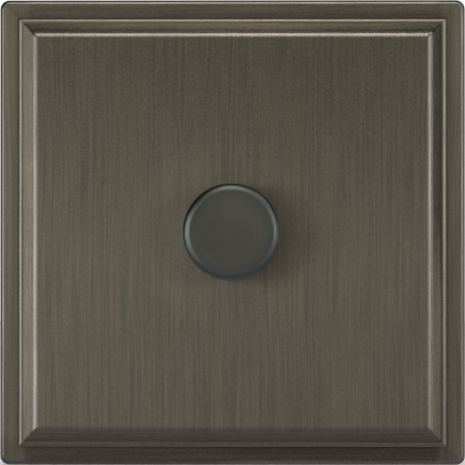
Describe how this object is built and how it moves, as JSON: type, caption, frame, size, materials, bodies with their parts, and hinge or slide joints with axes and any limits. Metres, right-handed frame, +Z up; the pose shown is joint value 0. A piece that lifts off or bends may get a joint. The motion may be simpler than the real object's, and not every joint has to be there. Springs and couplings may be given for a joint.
{
  "type": "dimmer switch",
  "caption": "Square rotary push dimmer switch with a stepped, screwless bronze wall plate, a plain round knob and a control module behind.",
  "frame": {"origin": "on the knob's axis in the wall plane, midway between the fixing screws", "axes": "+Y into the wall along the knob's axis, so the front faces -Y; +Z up; +X to the right seen from the front"},
  "size_m": [0.088, 0.0454, 0.088],
  "materials": {
    "bronze_plate": "dark brushed bronze with a long straight grain",
    "bronze_knob": "dark brushed bronze, fine grain",
    "black_plastic": "moulded black thermoplastic, fine spark texture",
    "housing_plastic": "moulded dark grey thermoplastic",
    "case_plastic": "moulded brown phenolic",
    "white_plastic": "moulded natural acetal",
    "zinc_steel": "bright zinc-plated steel",
    "spindle_steel": "turned steel",
    "spring_steel": "tempered spring steel",
    "brass": "machined brass",
    "copper": "copper alloy strip",
    "aluminium": "sheared aluminium sheet",
    "board_green": "green solder resist on glass-fibre board",
    "wafer_board": "paper-phenolic board",
    "epoxy_black": "moulded epoxy",
    "pad_grey": "silicone sheet",
    "ferrite": "sintered ferrite",
    "capacitor_yellow": "moulded film capacitor",
    "fuse_ceramic": "white ceramic tube"
  },
  "bodies": {
    "base": {"front_plate": "bronze_plate", "carrier_frame": "black_plastic", "fixing_screws": "zinc_steel", "earth_strip": "brass", "earth_clamp": "brass", "earth_screw": "brass", "heat_sink": "aluminium", "housing_screws": "zinc_steel", "module_housing": "housing_plastic", "bush": "brass", "bush_washer": "zinc_steel", "bush_nut": "zinc_steel", "pot_case": "case_plastic", "track_wafer": "wafer_board", "switch_contacts": "copper", "return_spring": "spring_steel", "circuit_board": "board_green", "triac": "epoxy_black", "triac_pad": "pad_grey", "triac_screw": "zinc_steel", "choke_core": "ferrite", "choke_winding": "copper", "suppressor_capacitor": "capacitor_yellow", "fuse_tube": "fuse_ceramic", "fuse_caps": "zinc_steel", "fuse_clips": "brass", "control_chip": "epoxy_black", "terminal_clamps": "brass", "terminal_screws": "zinc_steel"},
    "push": {"push_slider": "white_plastic", "contact_bridge": "copper"},
    "knob": {"knob_cap": "bronze_knob", "knob_insert": "black_plastic", "knob_grip_spring": "spring_steel", "spindle": "spindle_steel", "spindle_clip": "spring_steel"},
    "wiper": {"wiper_rotor": "white_plastic", "wiper_brush": "copper"}
  },
  "joints": [
    {"name": "knob_push", "type": "slide", "parent": "base", "child": "push", "axis": [0, 1, 0], "range_m": [0, 0.0015], "stiffness_N_per_m": 2000, "springref_m": -0.0015, "deforming": ["return_spring"]},
    {"name": "knob_turn", "type": "hinge", "parent": "push", "child": "knob", "pos_m": [0, 0, 0], "axis": [0, 1, 0], "range_deg": [-135, 135]},
    {"name": "wiper_turn", "type": "hinge", "parent": "base", "child": "wiper", "pos_m": [0, 0, 0], "axis": [0, 1, 0], "range_deg": [-135, 135]}
  ],
  "couplings": [
    {"joint": "wiper_turn", "follows": "knob_turn", "ratio": 1}
  ]
}
